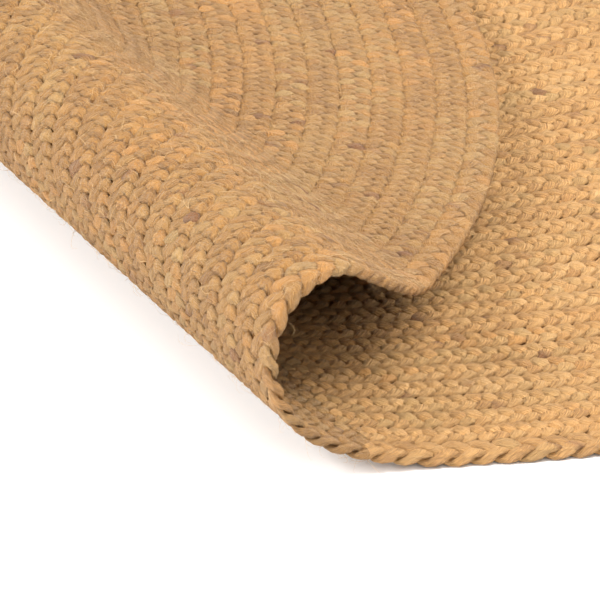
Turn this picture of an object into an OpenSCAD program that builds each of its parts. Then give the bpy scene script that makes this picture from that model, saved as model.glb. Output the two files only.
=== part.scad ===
// Round rug of hand-braided jute, lying on the floor with one side rolled over on itself.
// One flat braid of three strands is wound in a spiral and sewn edge to edge.
// Origin: the middle of the braid's first half turn, on the floor. +Z is up.
// The rug is drawn flat and then folded: distance past the fold line becomes length along the roll.

/* [Rug] */
// Number of turns of braid from the centre to the edge
turns = 46; // [42:2:50]
// Width of the braid
braid_w = 13; // [11:0.5:16]
// Thickness of the braid
braid_t = 5; // [4:0.25:6.5]
// Gap that the sewing thread leaves between two turns
seam_gap = 0.3; // [0.2:0.05:0.5]
// Bevel along the edges of the braid
braid_bevel = 1.5; // [0.5:0.25:1.75]
// Length of the tapered tail that ends the braid at the rug's edge
tail_length = 90; // [60:5:140]

/* [Fold] */
// Direction of the fold line, turned from +X
fold_dir = 116; // [90:1:130]
// Distance from the centre of the spiral to the fold line, where the rug leaves the floor
fold_start = 203; // [170:1:230]
// Radius of the first, easy bend at the foot of the roll
foot_r = 113; // [80:1:140]
// Angle of that first bend
foot_bend = 25; // [15:1:30]
// Radius of the roll's lower half
roll_r = 39; // [32:1:46]
// Radius of the roll's upper half
crown_r = 28; // [24:1:34]
// Slope of the rug where it comes down from the roll
ramp_slope = 38; // [30:1:44]
// Radius of the hollow bend at the bottom of that slope
heel_r = 28; // [22:1:40]
// Slope at which the flap then lies
flap_slope = 7.5; // [4:0.5:10]
// How far the flap has slipped along the fold
flap_slip = 55; // [0:1:60]
// Clearance between the tip of the flap and the rug below it
flap_gap = 0.6; // [0.4:0.1:2]

/* [Hinge lines] */
// Gap at each line where the rug bends
hinge_gap = 0.3; // [0.2:0.05:0.5]

/* [Hidden] */
$fn = 96;
BIG = 4 * turns * braid_w;
JUTE = "#c99a5f";
JUTE_DARK = "#b98a52";
JUTE_PALE = "#d3a870";

// ---- Fold profile, along the middle of the thickness ----
// A stretch is [length, curvature]; a profile point is [arc length, run, height, angle].
function arc_len(r, angle) = r * angle * PI / 180;
function advance(p, curve, s) =
    curve == 0
    ? [p[0] + s, p[1] + s * cos(p[3]), p[2] + s * sin(p[3]), p[3]]
    : let (a = p[3] + s * curve * 180 / PI)
        [p[0] + s, p[1] + (sin(a) - sin(p[3])) / curve, p[2] - (cos(a) - cos(p[3])) / curve, a];

mid_z = braid_t / 2;
tip_s = (turns + 0.5) * braid_w - fold_start;
tip_z = 1.5 * braid_t + flap_gap;
heel_bend = ramp_slope - flap_slope;
foot = [arc_len(foot_r, foot_bend), 1 / foot_r];
lower_roll = [arc_len(roll_r, 90 - foot_bend), 1 / roll_r];
crown = [arc_len(crown_r, 90 + ramp_slope), 1 / crown_r];
heel = [arc_len(heel_r, heel_bend), -1 / heel_r];
bends = [foot, lower_roll, crown, heel];

// The profile with no ramp gives the height that the ramp has to lose.
function profile_end(list, i) =
    i == 0 ? [0, 0, mid_z, 0]
    : advance(profile_end(list, i - 1), list[i - 1][1], list[i - 1][0]);
bare_end = profile_end(bends, len(bends));
flap_drop = (tip_s - bare_end[0]) * sin(flap_slope);
ramp_length = (bare_end[2] - tip_z - flap_drop) / (sin(ramp_slope) - sin(flap_slope));
ramp = [ramp_length, 0];
stretches = [foot, lower_roll, crown, ramp, heel];
marks = [for (i = [0 : len(stretches)]) profile_end(stretches, i)];
heel_s = marks[4][0];
flap_s = marks[5][0];

// Point of the profile at arc length s past the fold line
function profile(s) =
    s <= 0 ? [s, s, mid_z, 0]
    : let (passed = [for (i = [0 : len(marks) - 1]) if (marks[i][0] <= s) i])
      let (i = passed[len(passed) - 1])
        advance(marks[i], i < len(stretches) ? stretches[i][1] : 0, s - marks[i][0]);
// Slip along the fold, which grows smoothly from the fold line to the heel
function slip(s) =
    let (x = min(max(s / heel_s, 0), 1)) flap_slip * x * x * (3 - 2 * x);
// Where a point of the flat rug comes to lie: a along the fold, s past it, h above mid-thickness
function folded(a, s, h) =
    let (p = profile(s))
        [a - slip(s), fold_start + p[1] - h * sin(p[3]), p[2] + h * cos(p[3])];

// ---- Hinge lines ----
// Four lines share out the roll's whole turn and a fifth lies in the heel.
roll_turn = 180 + ramp_slope;
roll_hinges = 4;
function arc_at(angle) =
    angle <= foot_bend ? arc_len(foot_r, angle)
    : angle <= 90 ? marks[1][0] + arc_len(roll_r, angle - foot_bend)
    : marks[2][0] + arc_len(crown_r, angle - 90);
hinge_s = concat(
    [for (i = [0 : roll_hinges - 1]) arc_at(roll_turn * (2 * i + 1) / (2 * roll_hinges))],
    [heel_s + heel[0] / 2]);
band_edges = concat([0], hinge_s, [flap_s]);
// A band runs from one hinge line to the next, and keeps half a gap clear of each.
function band_from(i) = band_edges[i] + (i > 0 ? hinge_gap / 2 : 0);
function band_to(i) = band_edges[i + 1] - (i < len(hinge_s) ? hinge_gap / 2 : 0);

// ---- Spiral ----
// Each turn is two half circles. The half before the fold line is centred on the spiral's
// centre, and the half towards it half a braid further along, so that the turns join up.
half_gap = seam_gap / 2;
far_centre = braid_w / 2;
function near_radius(turn) = (turn - 0.5) * braid_w;
function far_radius(turn) = turn * braid_w;

module braid_section(radius, width = braid_w - seam_gap) {
    translate([radius, 0])
        polygon([
            [-width / 2 + braid_bevel, 0], [width / 2 - braid_bevel, 0],
            [width / 2, braid_bevel], [width / 2, braid_t - braid_bevel],
            [width / 2 - braid_bevel, braid_t], [-width / 2 + braid_bevel, braid_t],
            [-width / 2, braid_t - braid_bevel], [-width / 2, braid_bevel]]);
}

module near_half(turn) {
    rotate([0, 0, 180])
        rotate_extrude(angle = 180)
            braid_section(near_radius(turn));
}

module far_half(turn) {
    translate([far_centre, 0, 0])
        rotate_extrude(angle = 180)
            braid_section(far_radius(turn));
}

// The half space past distance d from the spiral's centre
module past(d) {
    translate([-BIG / 2, d, -BIG / 2])
        cube(BIG);
}

// Everything is drawn with the fold line along X, then set down in its place.
module set_down() {
    rotate([0, 0, fold_dir])
        translate([0, braid_w / 2, 0])
            children();
}

// One turn of the part of the rug that lies on the floor
module floor_turn(turn) {
    near_half(turn);
    difference() {
        far_half(turn);
        past(fold_start);
    }
}

// The braid's first end is tucked in at the centre
module start_tuck() {
    translate([far_centre, 0, 0])
        intersection() {
            cylinder(d = braid_w - seam_gap, h = braid_t);
            past(0);
        }
}

// The braid's last end is thinned out along the edge
tail_steps = 8;
module tail() {
    edge = turns * braid_w;
    sweep = tail_length / edge * 180 / PI;
    function at(i) = -sweep * i / tail_steps;
    function width(i) = braid_w * (1 - i / tail_steps) + 1;
    inner = [for (i = [0 : tail_steps]) (edge + half_gap) * [cos(at(i)), sin(at(i))]];
    outer = [for (i = [tail_steps : -1 : 0]) (edge + width(i)) * [cos(at(i)), sin(at(i))]];
    translate([0, 0, braid_bevel / 2])
        linear_extrude(height = braid_t - braid_bevel)
            polygon(concat(inner, outer));
}

// One turn of the flap, past the heel. Its first turn is a thin sliver, so the arcs are drawn finer.
flap_facets = 256;
module flap_turn(turn) {
    p = marks[5];
    translate([-flap_slip, fold_start + p[1], p[2]])
        rotate([p[3], 0, 0])
            translate([0, -fold_start - flap_s, -mid_z])
                intersection() {
                    far_half(turn, $fn = flap_facets);
                    past(fold_start + flap_s);
                }
}

// ---- Roll ----
// Half the chord that a circle keeps at distance d from its centre
function half_chord(radius, d) = d < radius ? sqrt(radius * radius - d * d) : 0;
// Distances from the centre at which a circle's chords stay within the tolerance
strip_gap = 0.7;
chord_tolerance = 0.3;
function chord_marks(radius, from, to) =
    let (first = asin(min(1, from / radius)),
         last = asin(min(1, to / radius)),
         steps = max(1, ceil((last - first) / (2 * acos(1 - chord_tolerance / radius)))))
        [for (i = [0 : steps]) radius * sin(first + (last - first) * i / steps)];
function sorted(list) =
    len(list) < 2 ? list
    : let (pivot = list[floor(len(list) / 2)])
        concat(sorted([for (x = list) if (x < pivot) x]),
            [for (x = list) if (x == pivot) x],
            sorted([for (x = list) if (x > pivot) x]));
// Distances for a strip's rings: where its sides turn, and in between where the roll bends
bend_steps = 4;
function strip_rings(r_in, r_out, start, stop) =
    let (turned = concat(
            start < r_in ? chord_marks(r_in, start, min(stop, r_in)) : [start],
            stop > r_in ? chord_marks(r_out, max(start, r_in), stop) : []),
         step = (stop - start) / bend_steps,
         bent = [for (i = [1 : bend_steps - 1]) start + step * i],
         kept = [for (b = bent) if (min([for (m = turned) abs(m - b)]) > step / 4) b],
         all = sorted(concat(turned, kept)))
        [for (i = [0 : len(all) - 1]) if (i == 0 || all[i] > all[i - 1] + 0.01) all[i]];

// A strip of one turn between two lengths along the roll, on one side of the spiral's centre.
// Its rings lie along the fold, so that neighbouring bands meet face to face.
end_width = 3;
module strip(turn, side, from, to) {
    r_in = far_radius(turn) - braid_w / 2 + strip_gap / 2;
    r_out = far_radius(turn) + braid_w / 2 - strip_gap / 2;
    start = fold_start + from;
    stop = min(fold_start + to, half_chord(r_out, end_width));
    rings = stop > start + 1 ? strip_rings(r_in, r_out, start, stop) : [];
    last = len(rings) - 1;
    function ring(d) =
        let (inner = max(strip_gap / 2, half_chord(r_in, d)),
             outer = half_chord(r_out, d),
             x = side > 0 ? [inner, outer] : [-outer, -inner])
            [for (c = [[0, -1], [1, -1], [1, 1], [0, 1]])
                folded(far_centre + x[c[0]], d - fold_start, c[1] * mid_z)];
    if (last > 0) {
        sides = [for (i = [0 : last - 1], j = [0 : 3])
            [4 * i + j, 4 * i + (j + 1) % 4, 4 * i + 4 + (j + 1) % 4, 4 * i + 4 + j]];
        ends = [[3, 2, 1, 0], [for (j = [0 : 3]) 4 * last + j]];
        polyhedron([for (d = rings) each ring(d)], concat(sides, ends));
    }
}

// The turns that the fold line crosses
first_crossing = floor(fold_start / braid_w - 0.5) + 1;
module band(i) {
    for (turn = [first_crossing : turns], side = [-1, 1])
        strip(turn, side, band_from(i), band_to(i));
}

// ---- Sub-parts ----
// Turns are grouped in pairs. The flap's pairs start with the first that reaches past the heel.
group = 2;
coils = turns / group;
first_flap_turn = floor((fold_start + flap_s) / braid_w - 0.5) + 1;
first_flap_coil = ceil(first_flap_turn / group);
function two_digits(n) = str(n < 10 ? "0" : "", n);
function coil_name(i) = str("coil_", two_digits(i));
function flap_name(i) = str("flap_coil_", two_digits(i));

// Two turns of the rug on the floor, and the tucked start inside the first
module coil(i) {
    color(i % 2 == 0 ? JUTE : JUTE_PALE)
        set_down() {
            for (turn = [group * (i - 1) + 1 : group * i])
                floor_turn(turn);
            if (i == 1)
                start_tuck();
        }
}

// The same two turns where they lie upside down in the flap
module flap_coil(i) {
    color(i % 2 == 0 ? JUTE_DARK : JUTE)
        set_down()
            for (turn = [max(first_flap_turn, group * (i - 1) + 1) : group * i])
                flap_turn(turn);
}

module tail_end() {
    color(JUTE_PALE)
        set_down()
            tail();
}

module roll_foot() {
    color(JUTE_DARK)
        set_down()
            band(0);
}

// One of the three bands that make the round of the roll
module roll_band(i) {
    color(i % 2 == 0 ? JUTE_PALE : JUTE)
        set_down()
            band(i);
}

module roll_ramp() {
    color(JUTE_PALE)
        set_down()
            band(4);
}

module flap_heel() {
    color(JUTE_DARK)
        set_down()
            band(5);
}

for (i = [1 : coils])
    coil(i);
tail_end();
roll_foot();
for (i = [1 : 3])
    roll_band(i);
roll_ramp();
flap_heel();
for (i = [first_flap_coil : coils])
    flap_coil(i);
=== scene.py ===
import math

import bpy
import numpy as np
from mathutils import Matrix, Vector


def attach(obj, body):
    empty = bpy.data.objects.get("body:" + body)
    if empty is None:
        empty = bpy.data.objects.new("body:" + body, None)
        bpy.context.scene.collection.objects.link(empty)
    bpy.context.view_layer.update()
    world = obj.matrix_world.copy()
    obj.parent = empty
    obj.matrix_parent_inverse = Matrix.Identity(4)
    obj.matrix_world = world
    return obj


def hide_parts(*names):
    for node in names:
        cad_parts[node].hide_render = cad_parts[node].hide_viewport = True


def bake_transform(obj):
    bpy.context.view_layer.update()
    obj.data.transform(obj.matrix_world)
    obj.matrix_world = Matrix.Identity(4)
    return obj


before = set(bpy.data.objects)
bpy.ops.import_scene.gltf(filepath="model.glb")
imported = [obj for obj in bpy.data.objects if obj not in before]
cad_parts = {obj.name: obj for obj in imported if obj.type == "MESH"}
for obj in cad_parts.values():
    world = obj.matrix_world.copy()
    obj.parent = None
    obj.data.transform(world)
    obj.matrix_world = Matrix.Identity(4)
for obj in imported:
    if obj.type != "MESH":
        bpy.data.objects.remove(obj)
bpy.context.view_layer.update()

bl_info = {
    "name": "Folded jute rug",
    "version": (1, 0, 0),
    "blender": (4, 5, 0),
    "location": "View3D > Sidebar > Jute rug",
    "description": "A round braided jute rug with one side rolled over on itself",
    "category": "Object",
}

STRANDS = 3  # in the braid
SIDES = 8  # of a strand's cross-section
RINGS = 8  # along a strand for each strand cycle
ROLL_HINGES = 4
# The rug is made in zones: on the floor, across each of the roll's hinge lines, down the ramp,
# across the heel and in the flap.
FLOOR, RAMP, HEEL, FLAP = 0, 5, 6, 7
HINGE_OF_ZONE = {1: 0, 2: 1, 3: 2, 4: 3, HEEL: 4}
BODY_OF_ZONE = {FLOOR: "floor_part", RAMP: "ramp", FLAP: "flap"}
ZONE_NAMES = ["floor", "foot", "roll_1", "roll_2", "roll_3", "ramp", "heel", "flap"]


class RugSizes(bpy.types.PropertyGroup):
    """Sizes of the rug, its braid and its fold."""

    turns: bpy.props.IntProperty(
        name="Turns", description="Turns of braid from the centre to the edge",
        default=46, min=30, max=50)
    braid_width: bpy.props.FloatProperty(
        name="Braid width", description="Width of the flat braid",
        default=0.013, unit="LENGTH", precision=4)
    braid_thickness: bpy.props.FloatProperty(
        name="Braid thickness", description="Thickness of the flat braid",
        default=0.005, unit="LENGTH", precision=4)
    strand_cycle: bpy.props.FloatProperty(
        name="Strand cycle", description="Length of braid in which a strand goes across and back",
        default=0.0185, unit="LENGTH", precision=4)
    edge_cycle: bpy.props.FloatProperty(
        name="Edge cycle", description="The same length in the looser braid of the outermost turn",
        default=0.0285, unit="LENGTH", precision=4)
    strand_half_width: bpy.props.FloatProperty(
        name="Strand half width", description="Half the width of a flattened strand",
        default=0.0035, unit="LENGTH", precision=4)
    strand_half_height: bpy.props.FloatProperty(
        name="Strand half height", description="Half the thickness of a flattened strand",
        default=0.00125, unit="LENGTH", precision=5)
    tail_length: bpy.props.FloatProperty(
        name="Tail length", description="Length of the tapered tail at the rug's edge",
        default=0.09, unit="LENGTH", precision=4)
    fold_direction: bpy.props.FloatProperty(
        name="Fold direction", description="Direction of the fold line",
        default=math.radians(116), subtype="ANGLE")
    fold_start: bpy.props.FloatProperty(
        name="Fold start", description="Distance from the centre to where the rug leaves the floor",
        default=0.203, unit="LENGTH", precision=4)
    foot_radius: bpy.props.FloatProperty(
        name="Foot radius", description="Radius of the easy bend at the foot of the roll",
        default=0.113, unit="LENGTH", precision=4)
    foot_bend: bpy.props.FloatProperty(
        name="Foot bend", description="Angle of that bend",
        default=math.radians(25), subtype="ANGLE")
    roll_radius: bpy.props.FloatProperty(
        name="Roll radius", description="Radius of the roll's lower half",
        default=0.039, unit="LENGTH", precision=4)
    crown_radius: bpy.props.FloatProperty(
        name="Crown radius", description="Radius of the roll's upper half",
        default=0.028, unit="LENGTH", precision=4)
    ramp_slope: bpy.props.FloatProperty(
        name="Ramp slope", description="Slope of the rug where it comes down from the roll",
        default=math.radians(38), subtype="ANGLE")
    heel_radius: bpy.props.FloatProperty(
        name="Heel radius", description="Radius of the hollow bend at the bottom of the slope",
        default=0.028, unit="LENGTH", precision=4)
    flap_slope: bpy.props.FloatProperty(
        name="Flap slope", description="Slope at which the flap lies",
        default=math.radians(7.5), subtype="ANGLE")
    flap_slip: bpy.props.FloatProperty(
        name="Flap slip", description="How far the flap has slipped along the fold",
        default=0.055, unit="LENGTH", precision=4)
    flap_gap: bpy.props.FloatProperty(
        name="Flap gap", description="Clearance between the flap's tip and the rug below",
        default=0.0006, unit="LENGTH", precision=5)
    seed: bpy.props.IntProperty(
        name="Seed", description="Seed of the braid's unevenness", default=11)


class RugColours(bpy.types.PropertyGroup):
    """Colours of the jute and of the floor."""

    tan: bpy.props.FloatVectorProperty(
        name="Tan", description="Middle tone of the jute", subtype="COLOR",
        size=3, default=(0.642, 0.332, 0.103), min=0, max=1)
    shade: bpy.props.FloatVectorProperty(
        name="Shade", description="Darkest strands", subtype="COLOR",
        size=3, default=(0.431, 0.202, 0.058), min=0, max=1)
    pale: bpy.props.FloatVectorProperty(
        name="Pale", description="Palest strands", subtype="COLOR",
        size=3, default=(0.734, 0.427, 0.170), min=0, max=1)
    orange: bpy.props.FloatVectorProperty(
        name="Orange", description="Warm strands", subtype="COLOR",
        size=3, default=(0.625, 0.277, 0.063), min=0, max=1)
    straw: bpy.props.FloatVectorProperty(
        name="Straw", description="Greenish grey strands", subtype="COLOR",
        size=3, default=(0.504, 0.301, 0.105), min=0, max=1)
    # painted shade: the underside's colours are multiplied by these factors; the jute is the same on both sides,
    # so this darkening is shade painted into the colour
    underside: bpy.props.FloatVectorProperty(
        name="Underside", description="What the underside's tones are multiplied by", subtype="COLOR",
        size=3, default=(0.612, 0.554, 0.400), min=0, max=1)
    fleck: bpy.props.FloatVectorProperty(
        name="Fleck", description="Scattered bark flecks", subtype="COLOR",
        size=3, default=(0.204, 0.070, 0.020), min=0, max=1)
    floor: bpy.props.FloatVectorProperty(
        name="Floor", description="Pale floor", subtype="COLOR",
        size=3, default=(0.93, 0.93, 0.93), min=0, max=1)


def smooth(x):
    """Smooth step from 0 to 1."""
    return x * x * (3 - 2 * x)


class Fold:
    """The rug's fold profile, and the way from the flat rug to the folded one."""

    def __init__(self, sizes):
        self.start = sizes.fold_start
        self.slip = sizes.flap_slip
        self.direction = sizes.fold_direction
        self.shift = sizes.braid_width / 2
        middle = sizes.braid_thickness / 2
        quarter = math.pi / 2
        bends = [
            (sizes.foot_radius * sizes.foot_bend, 1 / sizes.foot_radius),
            (sizes.roll_radius * (quarter - sizes.foot_bend), 1 / sizes.roll_radius),
            (sizes.crown_radius * (quarter + sizes.ramp_slope), 1 / sizes.crown_radius),
            (sizes.heel_radius * (sizes.ramp_slope - sizes.flap_slope), -1 / sizes.heel_radius),
        ]
        end = (0, 0, middle, 0)
        for length, curve in bends:
            end = self.advance(end, curve, length)
        tip = (sizes.turns + 0.5) * sizes.braid_width - sizes.fold_start
        tip_height = 3 * middle + sizes.flap_gap
        drop = (tip - end[0]) * math.sin(sizes.flap_slope)
        fall = math.sin(sizes.ramp_slope) - math.sin(sizes.flap_slope)
        ramp = ((end[2] - tip_height - drop) / fall, 0)
        self.stretches = bends[:3] + [ramp] + bends[3:]
        self.marks = [(0, 0, middle, 0)]
        for length, curve in self.stretches:
            self.marks.append(self.advance(self.marks[-1], curve, length))
        # the last stretch is the heel, and the flap follows it
        self.heel, self.flap = self.marks[-2][0], self.marks[-1][0]
        turn = math.pi + sizes.ramp_slope
        self.hinges = [self.arc_at(turn * (2 * i + 1) / (2 * ROLL_HINGES), sizes) for i in range(ROLL_HINGES)]
        self.hinges.append(self.heel + self.stretches[-1][0] / 2)

    @staticmethod
    def advance(mark, curve, length):
        """The mark at the end of a stretch. A mark is arc length, run, height and angle."""
        s, run, height, angle = mark
        if curve == 0:
            return (s + length, run + length * math.cos(angle), height + length * math.sin(angle), angle)
        turned = angle + length * curve
        return (s + length, run + (math.sin(turned) - math.sin(angle)) / curve,
                height - (math.cos(turned) - math.cos(angle)) / curve, turned)

    def arc_at(self, angle, sizes):
        """Arc length at which the roll has turned by that angle."""
        if angle <= sizes.foot_bend:
            return sizes.foot_radius * angle
        if angle <= math.pi / 2:
            return self.marks[1][0] + sizes.roll_radius * (angle - sizes.foot_bend)
        return self.marks[2][0] + sizes.crown_radius * (angle - math.pi / 2)

    def profile(self, s):
        """Run, height and angle at arc lengths s past the fold line."""
        marks = np.array(self.marks)
        curves = np.array([c for _, c in self.stretches] + [0.0])
        i = np.clip(np.searchsorted(marks[:, 0], s, side="right") - 1, 0, len(marks) - 1)
        d = s - marks[i, 0]
        curve, angle = curves[i], marks[i, 3]
        bent = np.abs(curve) > 1e-9
        safe = np.where(bent, curve, 1)
        turned = angle + d * curve
        run = marks[i, 1] + np.where(bent, (np.sin(turned) - np.sin(angle)) / safe, d * np.cos(angle))
        height = marks[i, 2] + np.where(bent, -(np.cos(turned) - np.cos(angle)) / safe, d * np.sin(angle))
        flat = s <= 0
        return (np.where(flat, s, run), np.where(flat, marks[0, 2], height), np.where(flat, 0, turned))

    def place(self, along, s, h):
        """Points of the folded rug in the row frame: along the fold, s past it, h above mid-thickness."""
        run, height, angle = self.profile(s)
        a = along - self.slip * smooth(np.clip(s / self.heel, 0, 1))
        b = self.start + run - h * np.sin(angle) + self.shift
        c, d = math.cos(self.direction), math.sin(self.direction)
        return np.stack([a * c - b * d, a * d + b * c, height + h * np.cos(angle)], -1)

    def centre_point(self, s):
        """Where the point of the rug's middle line at arc length s comes to lie."""
        return Vector(self.place(np.array([0.0]), np.array([s]), np.array([0.0]))[0])


class Spiral:
    """The braid's path on the flat rug: half circles about two centres half a braid apart."""

    def __init__(self, sizes):
        w = sizes.braid_width
        self.width = w
        self.radius, self.centre, self.begin = [], [], []
        for turn in range(1, sizes.turns + 1):
            self.radius += [(turn - 0.5) * w, turn * w]
            self.centre += [0.0, w / 2]
            self.begin += [0.0, math.pi]
        self.edge = sizes.turns * w
        self.radius.append(self.edge + w / 2)
        self.centre.append(0.0)
        self.begin.append(0.0)
        self.radius, self.centre, self.begin = map(np.array, (self.radius, self.centre, self.begin))
        self.starts = np.concatenate([[0], np.cumsum(math.pi * self.radius[:-1])])
        self.tail_from = self.starts[-1]
        self.length = self.tail_from + sizes.tail_length

    def half(self, run):
        """Number of the half turn that each run of braid is in."""
        return np.clip(np.searchsorted(self.starts, run, side="right") - 1, 0, len(self.starts) - 1)

    def place(self, run, across):
        """Flat rug coordinates, along the fold line and square to it, of points at a run of braid."""
        k = self.half(run)
        r = self.radius[k]
        angle = self.begin[k] - (run - self.starts[k]) / r
        left = np.clip((self.length - run) / (self.length - self.tail_from), 0, 1)
        r = np.where(k == len(self.starts) - 1, self.edge + left * self.width / 2, r)
        x = self.centre[k] + (r + across) * np.cos(angle)
        y = (r + across) * np.sin(angle)
        tucked = run < 0
        return (np.where(tucked, self.radius[0] + across, x), np.where(tucked, -run, y))


def soft_noise(run, spacing, rng):
    """Smooth random values from -1 to 1 along a run, with a knot every spacing."""
    low = float(run.min())
    knots = rng.uniform(-1, 1, int((float(run.max()) - low) / spacing) + 3)
    x = (run - low) / spacing
    i = np.floor(x).astype(int)
    f = smooth(x - i)
    return knots[i] * (1 - f) + knots[i + 1] * f


# ---- Materials ----

def node(tree, kind, inputs=None, **settings):
    """A node with its settings. Each input is a value, or the output of another node."""
    made = tree.nodes.new(kind)
    for key, value in settings.items():
        setattr(made, key, value)
    for key, value in (inputs or {}).items():
        if isinstance(value, bpy.types.NodeSocket):
            tree.links.new(value, made.inputs[key])
        else:
            made.inputs[key].default_value = value
    return made


def scaled_and_added(tree, value, factor, added):
    made = node(tree, "ShaderNodeMath", {0: value, 1: factor, 2: added}, operation="MULTIPLY_ADD")
    return made.outputs[0]


def tinted(tree, factor, under, colour):
    made = node(tree, "ShaderNodeMix", {"Factor": factor, "A": under, "B": (*colour, 1)}, data_type="RGBA")
    return made.outputs["Result"]


def rising(tree, value, start, end, most):
    """From 0 at the start to the most at the end."""
    made = node(tree, "ShaderNodeMapRange", {"Value": value, "From Min": start, "From Max": end, "To Max": most})
    return made.outputs["Result"]


def tone_ramp(tree, value, stops):
    made = node(tree, "ShaderNodeValToRGB", {"Fac": value})
    elements = made.color_ramp.elements
    while len(elements) < len(stops):
        elements.new(0.5)
    for element, (place, colour) in zip(elements, stops):
        element.position = place
        element.color = (*colour, 1)
    return made.outputs["Color"]


def jute_material(name, colours, matt_and_shade=0.0):
    """Natural jute: tone and warmth differ from strand to strand, and fine fibres run along each strand. The
    underside's copy is matter, and its colours are darkened as painted shade.
    """
    made = bpy.data.materials.new(name)
    made.use_nodes = True
    tree = made.node_tree
    shader = tree.nodes["Principled BSDF"]
    shader.inputs["Roughness"].default_value = 0.56 + 0.16 * matt_and_shade
    shader.inputs["Specular IOR Level"].default_value = 0.36 - 0.12 * matt_and_shade
    shader.inputs["Sheen Weight"].default_value = 0.10 + 0.12 * matt_and_shade
    shader.inputs["Sheen Roughness"].default_value = 0.5
    shader.inputs["Sheen Tint"].default_value = (1.0, 0.86, 0.66, 1)
    # the strand's tone, hue and flecks are kept in the red, green and blue of one attribute
    kept = node(tree, "ShaderNodeAttribute", attribute_name="jute_tone").outputs["Color"]
    split = node(tree, "ShaderNodeSeparateColor", {"Color": kept})
    tone, hue, flecks = (split.outputs[key] for key in ("Red", "Green", "Blue"))
    strand = node(tree, "ShaderNodeUVMap", uv_map="strand").outputs["UV"]
    stretched = node(tree, "ShaderNodeMapping", {"Vector": strand, "Scale": (0.55, 11.0, 1.0)}).outputs["Vector"]
    fibres = node(tree, "ShaderNodeTexNoise", {
        "Vector": stretched, "Scale": 3.0, "Detail": 4.0, "Roughness": 0.62}).outputs["Fac"]
    place = node(tree, "ShaderNodeTexCoord").outputs["Object"]
    mottle = node(tree, "ShaderNodeTexNoise", {"Vector": place, "Scale": 420.0, "Detail": 3.0}).outputs["Fac"]
    # brightness: the strand's own tone, with fibre streaks and mottling on top
    streaked = scaled_and_added(tree, fibres, 2.1, tone)
    mottled = scaled_and_added(tree, mottle, 0.55, streaked)
    centred = node(tree, "ShaderNodeMath", {0: mottled, 1: 1.30}, operation="SUBTRACT").outputs[0]
    # painted shade: for the underside these factors darken the face's colours, so that it looks as dim as jute in
    # shade
    painted_shade_factors = [1 - matt_and_shade * (1 - value) for value in colours.underside]
    shade, tan, pale = [[part * factor for part, factor in zip(colour, painted_shade_factors)]
                        for colour in (colours.shade, colours.tan, colours.pale)]
    colour = tone_ramp(tree, centred, [(0.12, shade), (0.50, tan), (0.92, pale)])
    colour = tinted(tree, rising(tree, hue, 0.60, 1.0, 0.62), colour, colours.orange)
    colour = tinted(tree, rising(tree, hue, 0.40, 0.0, 0.70), colour, colours.straw)
    colour = tinted(tree, flecks, colour, colours.fleck)
    tree.links.new(colour, shader.inputs["Base Color"])
    height = scaled_and_added(tree, mottle, 0.35 + 0.4 * matt_and_shade, fibres)
    bump = node(tree, "ShaderNodeBump", {"Height": height, "Strength": 1.0, "Distance": 0.0040})
    tree.links.new(bump.outputs["Normal"], shader.inputs["Normal"])
    return made


def plain_material(name, colour, roughness):
    made = bpy.data.materials.new(name)
    made.use_nodes = True
    shader = made.node_tree.nodes["Principled BSDF"]
    shader.inputs["Base Color"].default_value = (*colour, 1)
    shader.inputs["Roughness"].default_value = roughness
    shader.inputs["Specular IOR Level"].default_value = 0.1
    return made


def jute(kind):
    """The material of that kind, made once: the rug's face, its underside (the face's colours darkened as painted
    shade), the inner fibres (dark brown as painted shade in the gaps between strands) or the stray hairs.
    """
    colours = bpy.context.scene.rug_colours
    name = "jute " + kind
    if name not in bpy.data.materials:
        if kind == "core":
            # painted shade: this dark brown stands for the shade between and under the strands, not for a darker
            # jute
            plain_material(name, (0.16, 0.078, 0.028), 0.95)
        elif kind == "hair":
            plain_material(name, (0.60, 0.40, 0.20), 0.6)
        else:
            jute_material(name, colours, matt_and_shade={"face": 0.0, "underside": 1.0}[kind])
    return bpy.data.materials[name]


# ---- Meshes ----

def mesh_piece(name, points, quads, material, uvs=None, tones=None):
    """A mesh object from arrays of points and quads, with strand coordinates and tones."""
    mesh = bpy.data.meshes.new(name)
    mesh.vertices.add(len(points))
    mesh.vertices.foreach_set("co", points.astype(np.float32).ravel())
    mesh.loops.add(quads.size)
    mesh.loops.foreach_set("vertex_index", quads.astype(np.int32).ravel())
    mesh.polygons.add(len(quads))
    mesh.polygons.foreach_set("loop_start", np.arange(0, quads.size, 4, dtype=np.int32))
    mesh.update(calc_edges=True)
    mesh.polygons.foreach_set("use_smooth", np.ones(len(quads), dtype=bool))
    if uvs is not None:
        layer = mesh.uv_layers.new(name="strand")
        layer.data.foreach_set("uv", uvs.astype(np.float32).ravel())
    if tones is not None:
        attribute = mesh.attributes.new("jute_tone", "FLOAT_COLOR", "POINT")
        rgba = np.ones((len(points), 4), np.float32)
        rgba[:, :3] = tones
        attribute.data.foreach_set("color", rgba.ravel())
    mesh.materials.append(material)
    mesh.update()
    made = bpy.data.objects.new(name, mesh)
    bpy.context.scene.collection.objects.link(made)
    return made


def zone_limits(fold):
    """Arc lengths at which one zone of the rug hands over to the next, midway between hinge lines."""
    h = fold.hinges
    margin = 0.005  # of ramp and flap that go into the heel's zone
    between = [(h[i] + h[i + 1]) / 2 for i in range(ROLL_HINGES - 1)]
    reach = (h[1] - h[0]) / 2
    top = h[3] + (h[3] - h[2]) / 2
    half_heel = fold.flap - h[4] + margin
    return np.array([h[0] - reach, *between, top, h[4] - half_heel, h[4] + half_heel])


def bind(piece, zone, fold):
    """Makes a piece of that zone ride on its body; a piece at a hinge line only has its placement baked into its
    mesh.
    """
    if zone in BODY_OF_ZONE:
        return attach(piece, BODY_OF_ZONE[zone])
    limits, hinge = zone_limits(fold), HINGE_OF_ZONE[zone]
    start, end = fold.centre_point(limits[zone - 1]), fold.centre_point(limits[zone])
    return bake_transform(piece)


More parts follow.
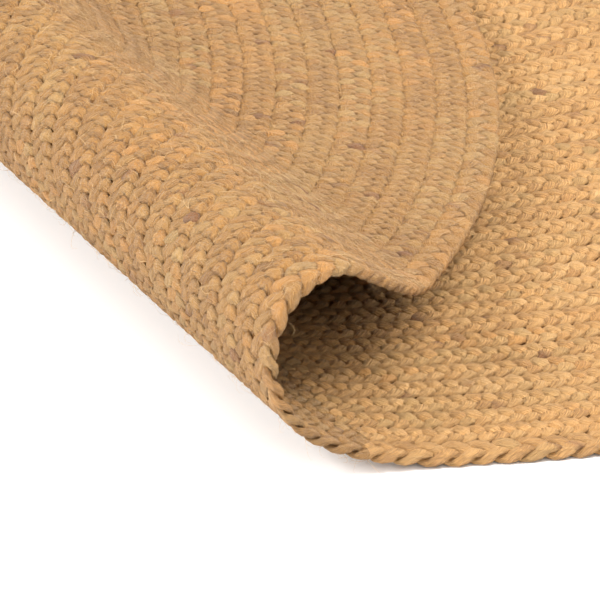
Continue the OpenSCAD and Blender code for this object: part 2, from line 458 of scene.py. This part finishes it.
class Braid:
    """All three strands of the braid, as rings of points, with what is needed to cut them into pieces."""

    made = None
    tuck = 0.006  # run of braid before the first turn

    def __init__(self, sizes):
        self.sizes, self.fold, self.spiral = sizes, Fold(sizes), Spiral(sizes)
        self.rng = np.random.RandomState(sizes.seed)
        self.step = sizes.strand_cycle / RINGS
        self.run = np.arange(-self.tuck, self.spiral.length, self.step)
        phase = self.stitch_phase()
        taper = self.taper()
        wander = self.uneven(0, (0.00028, 0.03)) * taper
        self.points, self.tones = [], []
        for strand in range(STRANDS):
            t = self.uneven(phase + strand * 2 * math.pi / STRANDS, (0.20, 0.012))
            points, past = self.strand_points(t, taper, wander)
            self.points.append(points)
            if strand == 0:
                ring_past = past.mean(1)
            self.tones.append(self.strand_tones())
        quad_past = (ring_past[1:] + ring_past[:-1]) / 2
        self.zone = np.searchsorted(zone_limits(self.fold), quad_past, side="right")
        self.quad_turn = self.spiral.half(self.run)[:-1] // 2 + 1

    def uneven(self, middle, *waves):
        """A value that wanders from its middle along the run. A wave is how far, and over what length."""
        for size, spacing in waves:
            middle = middle + size * soft_noise(self.run, spacing, self.rng)
        return middle

    def stitch_phase(self):
        """The strands' phase along the run. The braid is looser in its outermost turn."""
        sizes = self.sizes
        edge_turn = self.spiral.starts[-3] + 0.15
        loosened = np.clip((self.run - edge_turn) / 0.1, 0, 1)
        cycle = sizes.strand_cycle + (sizes.edge_cycle - sizes.strand_cycle) * loosened
        phase = self.uneven(np.cumsum(2 * math.pi * self.step / cycle), (0.45, 0.035), (0.30, 0.16))
        self.rng.uniform(size=60)  # draws passed over, so that the seed goes on giving the same braid
        return phase

    def taper(self):
        """How full the braid is along the run: it thins out in the tail, and is pinched at its first end."""
        tail = self.spiral.length - self.spiral.tail_from
        left = np.clip((self.spiral.length - self.run) / tail, 0.03, 1)
        start = np.clip((self.run + 0.0065) / self.tuck, 0.05, 1) ** 0.5
        return np.minimum(left, start)

    def strand_points(self, t, taper, wander):
        """Rings of a strand on the folded rug, and how far past the fold line they are on the flat one."""
        sizes, spiral = self.sizes, self.spiral
        half_braid, half_t = sizes.braid_width / 2, sizes.braid_thickness / 2
        pinch = 0.0003  # that a strand is narrower by where it turns at the braid's edge
        margin = 0.0018  # from the braid's edge to the middle of the strand there
        fullness = self.uneven(1, (0.15, 0.010), (0.06, 0.005))
        half_width = (sizes.strand_half_width - pinch * np.sin(t) ** 2) * fullness * taper
        half_height = sizes.strand_half_height * self.uneven(1, (0.10, 0.013)) * taper
        reach = (half_braid - margin) * self.uneven(1, (0.06, 0.017))
        lift = half_t - sizes.strand_half_height
        x = reach * np.sin(t) * taper + wander
        z = lift * np.sin(2 * t) * taper
        # directions of the strand, of its width and of its height: along the run, across it and up
        dx, dz = np.gradient(x, self.step), np.gradient(z, self.step)
        size = np.sqrt(1 + dx * dx + dz * dz)
        tl, tx, tz = 1 / size, dx / size, dz / size
        flat = np.sqrt(tl * tl + tx * tx)
        wl, wx = -tx / flat, tl / flat
        hl, hx, hz = -tz * wx, tz * wl, tl * wx - tx * wl
        around = 2 * math.pi * np.arange(SIDES) / SIDES
        squareness = 0.85  # of the cross-section; 1 is an ellipse
        c, s = [np.sign(f)[None] * np.abs(f)[None] ** squareness for f in (np.cos(around), np.sin(around))]
        lump = 1 + 0.07 * self.rng.uniform(-1, 1, (len(self.run), SIDES))
        a, b = half_width[:, None] * c * lump, half_height[:, None] * s * lump
        along = self.run[:, None] + a * wl[:, None] + b * hl[:, None]
        across = x[:, None] + a * wx[:, None] + b * hx[:, None]
        h = z[:, None] + b * hz[:, None]
        # neighbouring turns press into each other, and only the rug's edge stays within its width
        outermost = (spiral.half(along) >= len(spiral.starts) - 3) & (across > 0)
        limit = half_braid * np.where(outermost, 0.995, 1.13)
        across = np.clip(across, -limit, limit)
        h = np.sign(h) * half_t * np.clip(np.abs(h) / half_t, 0, 1) ** 0.5
        u, v = spiral.place(along, across)
        past = np.where(spiral.half(along) % 2 == 1, v, np.minimum(v, 0)) - self.fold.start
        return self.fold.place(u, past, self.pressed(h, past)), past

    def pressed(self, h, past):
        """The underside is pressed a little flatter from the ramp on."""
        amount = 0.35 * np.clip((past - 0.16) / 0.06, 0, 1)
        low = np.maximum(-h / (self.sizes.braid_thickness / 2), 0)
        return h * (1 - amount * low ** 1.5 * 0.6)

    def strand_tones(self):
        """Tone, hue and flecks of a strand along the run."""
        tone = self.uneven(0.46, (0.15, 0.011), (0.13, 0.09), (0.05, 0.9))
        hue = self.uneven(0.5, (0.26, 0.022), (0.30, 0.14), (0.12, 1.1))
        count, longest, flecks = len(self.run), 4, 330
        fleck = np.zeros(count)
        for k in self.rng.randint(0, count - 5, flecks):
            fleck[k:k + self.rng.randint(1, longest)] = self.rng.uniform(0.35, 0.9)
        return np.stack([tone, np.clip(hue, 0, 1), fleck], -1)

    @classmethod
    def get(cls):
        if cls.made is None:
            cls.made = cls(bpy.context.scene.rug_sizes)
        return cls.made

    def piece(self, name, chosen, material):
        """One mesh of the stretches of braid that are chosen, one flag for each step of the run."""
        index = np.nonzero(chosen)[0]
        if len(index) == 0:
            raise RuntimeError(name + " has no braid in it")
        used = np.zeros(len(self.run), bool)
        used[index] = used[index + 1] = True
        renumber = np.cumsum(used) - 1
        side = np.arange(SIDES)
        following = (side + 1) % SIDES
        points, quads, uvs, tones = [], [], [], []
        for strand in range(STRANDS):
            base = strand * int(used.sum()) * SIDES
            points.append(self.points[strand][used].reshape(-1, 3))
            first = renumber[index][:, None] * SIDES + base
            second = renumber[index + 1][:, None] * SIDES + base
            corners = [first + side, first + following, second + following, second + side]
            quads.append(np.stack(corners, -1).reshape(-1, 4))
            uvs.append(self.strand_uv(index, strand, side))
            tones.append(np.repeat(self.tones[strand][used], SIDES, axis=0))
        return mesh_piece(name, np.concatenate(points), np.concatenate(quads), material,
                          np.concatenate(uvs), np.concatenate(tones))

    def strand_uv(self, index, strand, side):
        """Strand coordinates: the run in centimetres, and once round the strand, with the fibres' twist."""
        twist, apart = 0.35, 37.3
        centimetres = self.run / 0.01
        u0, u1 = [centimetres[i][:, None] + 0 * side + strand * apart for i in (index, index + 1)]
        v0, v1 = side / SIDES, (side + 1) / SIDES
        corners = [(u0, v0), (u0, v1), (u1, v1), (u1, v0)]
        return np.stack([np.stack([u, v + twist * u], -1) for u, v in corners], -2).reshape(-1, 2)


def in_turns(braid, pair):
    """Steps of the run that lie in a pair of turns."""
    inside = (braid.quad_turn + 1) // 2 == pair
    return inside & (braid.run[:-1] < braid.spiral.tail_from)


# ---- Operators ----

class RUG_OT_floor_braid(bpy.types.Operator):
    """The braid where the rug lies on the floor, two turns to a piece"""
    bl_idname = "rug.floor_braid"
    bl_label = "Braid on the floor"

    def execute(self, context):
        braid = Braid.get()
        for pair in range(1, context.scene.rug_sizes.turns // 2 + 1):
            name = f"floor_braid_{pair:02d}"
            piece = braid.piece(name, in_turns(braid, pair) & (braid.zone == FLOOR), jute("face"))
            bind(piece, FLOOR, braid.fold)
            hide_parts(f"coil_{pair:02d}")
        return {"FINISHED"}


class RUG_OT_tail_braid(bpy.types.Operator):
    """The tapered tail that ends the braid at the rug's edge"""
    bl_idname = "rug.tail_braid"
    bl_label = "Tail of the braid"

    def execute(self, context):
        braid = Braid.get()
        piece = braid.piece("tail_braid", braid.run[:-1] >= braid.spiral.tail_from, jute("face"))
        bind(piece, FLOOR, braid.fold)
        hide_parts("tail_end")
        return {"FINISHED"}


class RUG_OT_roll_braid(bpy.types.Operator):
    """The braid round the roll and down the slope behind it, one piece for each hinge line"""
    bl_idname = "rug.roll_braid"
    bl_label = "Braid of the roll"

    def execute(self, context):
        braid = Braid.get()
        named = {1: ("foot_braid", "roll_foot"), 2: ("roll_braid_1", "roll_band_1"),
                 3: ("roll_braid_2", "roll_band_2"), 4: ("roll_braid_3", "roll_band_3"),
                 RAMP: ("ramp_braid", "roll_ramp"), HEEL: ("heel_braid", "flap_heel")}
        for zone, (name, cad_node) in named.items():
            piece = braid.piece(name, braid.zone == zone, jute("underside"))
            bind(piece, zone, braid.fold)
            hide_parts(cad_node)
        return {"FINISHED"}


class RUG_OT_flap_braid(bpy.types.Operator):
    """The braid of the flap that lies upside down on the rug, two turns to a piece"""
    bl_idname = "rug.flap_braid"
    bl_label = "Braid of the flap"

    def execute(self, context):
        braid = Braid.get()
        for pair in range(1, context.scene.rug_sizes.turns // 2 + 1):
            chosen = in_turns(braid, pair) & (braid.zone == FLAP)
            if not chosen.any():
                continue
            piece = braid.piece(f"flap_braid_{pair:02d}", chosen, jute("underside"))
            bind(piece, FLAP, braid.fold)
            cad_node = f"flap_coil_{pair:02d}"
            if cad_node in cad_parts:
                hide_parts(cad_node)
        return {"FINISHED"}


def closed_sheet(grids):
    """Points and quads of a thin closed sheet between an upper and a lower grid of points."""
    rows, columns = grids[0].shape[:2]
    points = np.concatenate([grid.reshape(-1, 3) for grid in grids])
    i, j = np.meshgrid(np.arange(rows - 1), np.arange(columns - 1), indexing="ij")
    a = (i * columns + j).ravel()
    top = np.stack([a, a + 1, a + columns + 1, a + columns], -1)
    size = rows * columns
    bottom = top[:, ::-1] + size
    number = np.arange(size).reshape(rows, columns)
    rim = np.concatenate([number[0], number[1:, -1], number[-1, -2::-1], number[-2:0:-1, 0]])
    after = np.roll(rim, -1)
    wall = np.stack([rim, rim + size, after + size, after], -1)
    return points, np.concatenate([top, bottom, wall])


class RUG_OT_core(bpy.types.Operator):
    """The thin layer of inner fibres at the middle of the braid, one sheet for each zone of the rug. Its dark
    colour is painted shade, seen through the gaps between the strands.
    """
    bl_idname = "rug.core"
    bl_label = "Inner fibres"

    inset = 0.005  # from the rug's edge
    thickness = 0.0009
    columns = 64

    def execute(self, context):
        sizes = context.scene.rug_sizes
        fold = Fold(sizes)
        edge = sizes.turns * sizes.braid_width
        half_width = sizes.braid_width / 2
        low = -edge + self.inset + 0.002
        high = edge + half_width - self.inset - 0.004 - fold.start
        bounds = [low - fold.start, *zone_limits(fold), high]
        for zone, zone_name in enumerate(ZONE_NAMES):
            flat_zone = zone in (FLOOR, FLAP)
            spacing = 0.012 if flat_zone else 0.004
            rows = max(2, int((bounds[zone + 1] - bounds[zone]) / spacing) + 1)
            s = np.linspace(bounds[zone], bounds[zone + 1], rows)
            d = s + fold.start
            outer = edge + half_width * (d > 0) - self.inset
            half_chord = np.sqrt(np.maximum(outer ** 2 - d ** 2, 1e-6))
            centre = np.where(d > 0, half_width, 0)
            along = centre[:, None] + half_chord[:, None] * np.linspace(-1, 1, self.columns)[None]
            past = np.repeat(s[:, None], self.columns, 1)
            heights = [np.full_like(along, side * self.thickness / 2) for side in (1, -1)]
            points, quads = closed_sheet([fold.place(along, past, height) for height in heights])
            piece = mesh_piece("core_" + zone_name, points, quads, jute("core"))
            bind(piece, zone, fold)
        return {"FINISHED"}


class LooseFibres:
    """Where each stray fibre is rooted on the flat rug, which side it stands out of, and how it lies."""

    count = 26000
    rings, sides = 5, 3

    def __init__(self, sizes, fold):
        rng = np.random.RandomState(sizes.seed + 5)
        edge = sizes.turns * sizes.braid_width
        count = self.count
        radius = edge * np.sqrt(rng.uniform(0, 1, count)) * 0.997
        angle = rng.uniform(-math.pi, math.pi, count)
        rim = rng.uniform(0, 1, count) < 0.05
        radius = np.where(rim, edge * rng.uniform(0.985, 1.0, count), radius)
        along, past = radius * np.cos(angle), radius * np.sin(angle) - fold.start
        zone = np.searchsorted(zone_limits(fold), past, side="right")
        keep = (zone != FLOOR) | (rng.uniform(0, 1, count) < 0.45)
        self.along, self.past, self.zone = along[keep], past[keep], zone[keep]
        rim, angle = rim[keep], angle[keep]
        count = len(self.along)
        # most stand out of the side that shows, and none out of the side that lies on the floor
        upside = np.where(self.zone == FLOOR, 1.0, -1.0)
        side = np.where(rng.uniform(0, 1, count) < 0.15, -upside, upside)
        self.side = np.where((self.zone == FLOOR) & (side < 0), 1.0, side)
        self.length = rng.uniform(0.003, 0.010, count) * np.where(rim, 1.2, 1)
        heading = rng.uniform(-math.pi, math.pi, count)
        self.heading = np.where(rim, angle + rng.normal(0, 0.7, count), heading)
        self.rise = np.abs(rng.normal(0, 0.22, count)) + 0.05
        self.curl = rng.normal(0, 2.2, count)
        self.thick = rng.uniform(0.00004, 0.00008, count)
        self.half_t = sizes.braid_thickness / 2

    def tubes(self, fold):
        """Rings of points on the folded rug, for each fibre."""
        f = np.linspace(0, 1, self.rings)
        turn = self.heading[:, None] + self.curl[:, None] * f[None]
        step = self.length[:, None] / (self.rings - 1)
        dx = np.cumsum(np.cos(turn) * step, 1) - np.cos(turn) * step
        dy = np.cumsum(np.sin(turn) * step, 1) - np.sin(turn) * step
        arch = self.rise[:, None] * self.length[:, None] * np.sin(np.minimum(f * 2.2, math.pi))[None]
        h = self.side[:, None] * (self.half_t * 0.82 + arch)
        around = 2 * math.pi * np.arange(self.sides) / self.sides
        size = self.thick[:, None, None] * (1 - 0.7 * f[None, :, None])
        across = size * np.cos(around)
        a = (self.along[:, None] + dx)[:, :, None] - np.sin(turn)[:, :, None] * across
        b = (self.past[:, None] + dy)[:, :, None] + np.cos(turn)[:, :, None] * across
        return fold.place(a, b, h[:, :, None] + size * np.sin(around))

    def quads(self, count):
        """Quads of that many fibres."""
        ring = np.arange(self.rings - 1)[:, None] * self.sides
        j = np.arange(self.sides)[None]
        after = (j + 1) % self.sides
        corners = [ring + j, ring + after, ring + self.sides + after, ring + self.sides + j]
        pattern = np.stack(corners, -1).reshape(-1, 4)
        return (pattern[None] + (np.arange(count) * self.rings * self.sides)[:, None, None]).reshape(-1, 4)


class RUG_OT_loose_fibres(bpy.types.Operator):
    """Short loose fibres that stand out of the braid, more of them on the underside"""
    bl_idname = "rug.loose_fibres"
    bl_label = "Loose fibres"

    def execute(self, context):
        sizes = context.scene.rug_sizes
        fold = Fold(sizes)
        fibres = LooseFibres(sizes, fold)
        points = fibres.tubes(fold)
        for zone, zone_name in enumerate(ZONE_NAMES):
            mine = np.nonzero(fibres.zone == zone)[0]
            if len(mine) == 0:
                continue
            piece = mesh_piece("fuzz_" + zone_name, points[mine].reshape(-1, 3),
                               fibres.quads(len(mine)), jute("hair"))
            bind(piece, zone, fold)
        return {"FINISHED"}


class RUG_OT_stage(bpy.types.Operator):
    """Pale floor, soft studio light and the camera"""
    bl_idname = "rug.stage"
    bl_label = "Floor, light and camera"

    floor_reach = 6
    floor_drop = 0.0004  # below the rug
    world_strength = 0.66
    world_colour = (1.0, 0.99, 0.975, 1)
    # name, place, what it is aimed at, size and power
    lamps = [("softbox", (1.1, -0.5, 2.6), (0, 0, 0), 2.0, 124),
             ("left", (-2.2, -1.5, 1.5), (0, -0.1, 0), 1.8, 120),
             ("right", (2.5, 0.5, 1.7), (0.1, -0.2, 0), 1.2, 56),
             ("front", (0.5, -2.8, 1.7), (0.1, -0.4, 0), 0.8, 18)]
    lens, sensor = 533.8, 36
    camera_place = (-0.0336, -3.5678, 1.5424)
    camera_tilt, camera_turn = math.radians(63.64), math.radians(-0.58)

    def execute(self, context):
        scene = context.scene
        self.lay_floor(scene)
        self.light(scene)
        data = bpy.data.cameras.new("camera")
        data.sensor_width, data.lens = self.sensor, self.lens
        data.clip_start, data.clip_end = 0.05, 50
        camera = bpy.data.objects.new("camera", data)
        camera.location = self.camera_place
        camera.rotation_euler = (self.camera_tilt, 0, self.camera_turn)
        scene.collection.objects.link(camera)
        scene.camera = camera
        scene.view_settings.view_transform = "Standard"
        return {"FINISHED"}

    def lay_floor(self, scene):
        reach = self.floor_reach
        corners = [(x * reach, y * reach, -self.floor_drop) for x, y in ((-1, -1), (1, -1), (1, 1), (-1, 1))]
        floor = mesh_piece("floor", np.array(corners), np.array([[0, 1, 2, 3]]),
                           plain_material("floor", scene.rug_colours.floor, 0.7))

    def light(self, scene):
        world = bpy.data.worlds.new("studio")
        world.use_nodes = True
        world.node_tree.nodes["Background"].inputs["Color"].default_value = self.world_colour
        world.node_tree.nodes["Background"].inputs["Strength"].default_value = self.world_strength
        scene.world = world
        for name, place, target, size, power in self.lamps:
            light = bpy.data.lights.new(name, "AREA")
            light.energy, light.size = power, size
            lamp = bpy.data.objects.new(name, light)
            lamp.location = place
            lamp.rotation_euler = (Vector(target) - Vector(place)).to_track_quat("-Z", "Y").to_euler()
            scene.collection.objects.link(lamp)


class RUG_PT_panel(bpy.types.Panel):
    """Lists the rug's pieces"""
    bl_idname = "RUG_PT_panel"
    bl_label = "Jute rug"
    bl_space_type = "VIEW_3D"
    bl_region_type = "UI"
    bl_category = "Jute rug"

    def draw(self, context):
        for operator in OPERATORS:
            self.layout.operator(operator.bl_idname)


OPERATORS = [RUG_OT_core, RUG_OT_floor_braid, RUG_OT_tail_braid, RUG_OT_roll_braid,
             RUG_OT_flap_braid, RUG_OT_loose_fibres, RUG_OT_stage]
CLASSES = [RugSizes, RugColours, *OPERATORS, RUG_PT_panel]


def register():
    for cls in CLASSES:
        bpy.utils.register_class(cls)
    bpy.types.Scene.rug_sizes = bpy.props.PointerProperty(type=RugSizes)
    bpy.types.Scene.rug_colours = bpy.props.PointerProperty(type=RugColours)


def unregister():
    del bpy.types.Scene.rug_colours
    del bpy.types.Scene.rug_sizes
    for cls in reversed(CLASSES):
        bpy.utils.unregister_class(cls)


def main():
    register()
    bpy.ops.rug.core()
    bpy.ops.rug.floor_braid()
    bpy.ops.rug.tail_braid()
    bpy.ops.rug.roll_braid()
    bpy.ops.rug.flap_braid()
    bpy.ops.rug.loose_fibres()
    bpy.ops.rug.stage()


if __name__ == "__main__":
    main()
